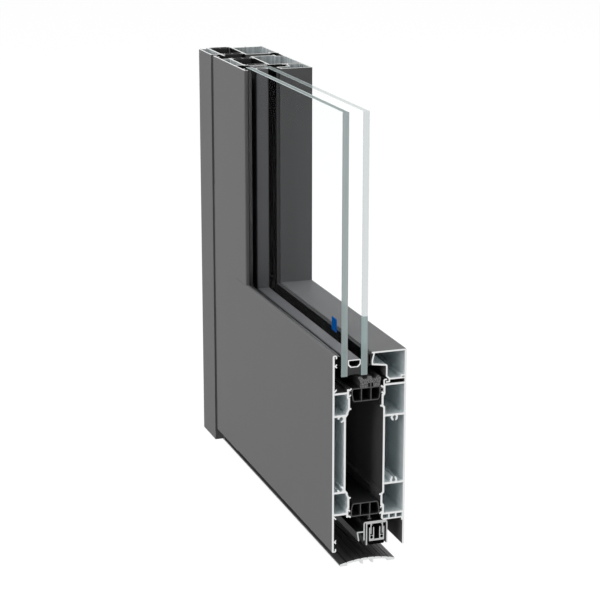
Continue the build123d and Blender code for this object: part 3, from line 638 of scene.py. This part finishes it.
# Drop seal: an aluminium housing on a clip-on adapter, with a carrier that slides down in it. All are bare
# extrusions, their outsides painted in dark shade where they sit in the leaf's shadow, and bright at the cut,
# though the cut too is painted darker in shade.
seal_painted_shade_dark = (0.05, 0.051, 0.053, 1)
seal_painted_shade_pale = (0.09, 0.092, 0.095, 1)
seal_metal = Finish(bpy.data.materials.new("bare_seal_aluminium"))
lines = seal_metal.grain(drawn_lines(level["axis"], 0.0006, 0.3), detail=3.0)
blade = seal_metal.grain((0.0006, 0.008, 0.0006), detail=2.0)
outside = seal_metal.blend(lines, seal_painted_shade_dark, seal_painted_shade_pale)
# The cut is darker than the leaf's, painted shade.
cut = seal_metal.blend(blade, faded(saw_dark, 0.6), faded(saw_light, 0.7))
seal_metal.surface(seal_metal.principled({
    "Base Color": seal_metal.blend(sawn_faces(seal_metal), outside, cut),
    "Roughness": 0.4 + lines * 0.2,
    "Metallic": 1.0,
    "Normal": seal_metal.relief(lines, 0.0001),
}))
for name in ("seal_adapter", "seal_housing", "seal_carrier"):
    dress(name, seal_metal.owner)

# Threshold: a low arched plate of aluminium, dark anodised, with fine grooves along it for grip. Its sawn end
# is bare; its underside, and the block that ties it to the jamb, take the bare metal's light colour as
# painted light. Painted light makes the tread lighter towards its interior side and on its rib crests, and
# painted shade darkens its grooves.
tread_dark = (0.058, 0.058, 0.059, 1)
tread_light = (0.105, 0.105, 0.106, 1)
tread_painted_light = (0.15, 0.15, 0.152, 1)
groove_painted_shade = (0.012, 0.012, 0.012, 1)
tread_edge = 0.0022
tread_skin = 0.0012
rib_pitch = 0.008
rib_start = 0.0035
groove_start = 0.88
crest_end = 0.12
slope_start, slope_end = 0.3, 0.75
tread = Finish(bpy.data.materials.new("dark_anodised_tread"))
lines = tread.grain(drawn_lines(level["axis"], 0.0008, 0.3), detail=3.0)
scuffs = tread.grain((0.05, 0.008, 0.05), detail=4.0, rough=0.65)
low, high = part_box("threshold")
x, y, z = tread.place()
across = (y - (low.y + high.y) / 2) * (2 / (high.y - low.y))
arch = high.z - (high.z - tread_edge) * across * across
# The sawn end is bare metal; the underside below the tread's skin takes the same light colour, painted light.
sawn_and_underside_light = sawn_faces(tread) | (z < arch - tread_skin)
rib = tread.node("ShaderNodeMath", {"operation": "PINGPONG"}, {0: y - low.y - rib_start, 1: rib_pitch / 2})
rib = rib * (2 / rib_pitch)
groove = rib > groove_start
colour = tread.blend(lines * 0.5 + scuffs * 0.5, tread_dark, tread_light)
# Lighter towards the interior side and on the rib crests: painted light. Dark in the grooves: painted shade.
painted_light_slope = tread.ramp(across, slope_start, slope_end)
colour = tread.blend(painted_light_slope * 0.6 + (rib < crest_end) * 0.15, colour, tread_painted_light)
colour = tread.blend(groove, colour, groove_painted_shade)
tread.surface(tread.principled({
    "Base Color": tread.blend(sawn_and_underside_light, colour, saw_dark),
    "Roughness": 0.4 + scuffs * 0.2,
    "Metallic": 0.5 + sawn_and_underside_light * 0.5,
    "Normal": tread.relief(lines * 0.4 - groove, 0.0002, strength=0.4),
}))
for name in ("threshold", "threshold_connector"):
    dress(name, tread.owner)

# Hinge in the shadow gap: thin flaps of blackened steel, one fixed to the jamb and one to the leaf, rolled
# round a pin.
steel_dark = (0.02, 0.02, 0.021, 1)
steel_light = (0.045, 0.045, 0.047, 1)
steel = Finish(bpy.data.materials.new("blackened_steel"))
wear = steel.grain((0.004, 0.004, 0.02), detail=4.0, rough=0.6)
steel.surface(steel.principled({
    "Base Color": steel.blend(wear, steel_dark, steel_light),
    "Roughness": 0.35 + wear * 0.25,
    "Metallic": 0.7,
}))
for name in ("jamb_hinge_flap", "leaf_hinge_flap", "hinge_pin"):
    dress(name, steel.owner)

# Glass label: a small film stuck on the inner pane, inside the cavity, near the bottom of the glass. It is
# left plain blue, with a slightly paler border.
label_width = 0.015
label_height = 0.0139
label_thickness = 0.0002
label_corner = 0.0012
label_border = 0.0007
label_centre = (0.1547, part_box("inner_pane")[0].y - label_thickness / 2, 0.2288)
label_blue = (0.0, 0.07, 0.3, 1)
label_bright = (0.0, 0.085, 0.36, 1)
border_blue = (0.01, 0.11, 0.42, 1)
bpy.ops.object.select_all(action="DESELECT")
bpy.ops.mesh.primitive_cube_add(
    size=1.0, location=label_centre, scale=(label_width, label_thickness, label_height))
label = bpy.context.object
label.name = "glass_label"
bpy.ops.object.transform_apply(location=True, rotation=True, scale=True)
bpy.ops.object.mode_set(mode="EDIT")
bpy.ops.mesh.select_all(action="DESELECT")
bpy.ops.mesh.select_mode(type="EDGE")
bpy.ops.object.mode_set(mode="OBJECT")
for edge in label.data.edges:
    first, second = (label.data.vertices[index].co for index in edge.vertices)
    edge.select = abs(first.y - second.y) > label_thickness / 2
bpy.ops.object.mode_set(mode="EDIT")
bpy.ops.mesh.bevel(offset=label_corner, segments=4)
bpy.ops.object.mode_set(mode="OBJECT")
film = Finish(bpy.data.materials.new("blue_film"))
x, y, z = film.place()
across = x - label_centre[0]
up = z - label_centre[2]
side = label_width / 2 - label_border
end = label_height / 2 - label_border
border = (across > side) | (across < -side) | (up > end) | (up < -end)
ink = film.blend(film.grain(0.0008, detail=3.0), label_blue, label_bright)
film.surface(film.principled({
    "Base Color": film.blend(border, ink, border_blue),
    "Roughness": 0.3,
    "Specular IOR Level": 0.0,
}))
label.data.materials.append(film.owner)
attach(label, "leaf")

bpy.ops.object.select_all(action="DESELECT")
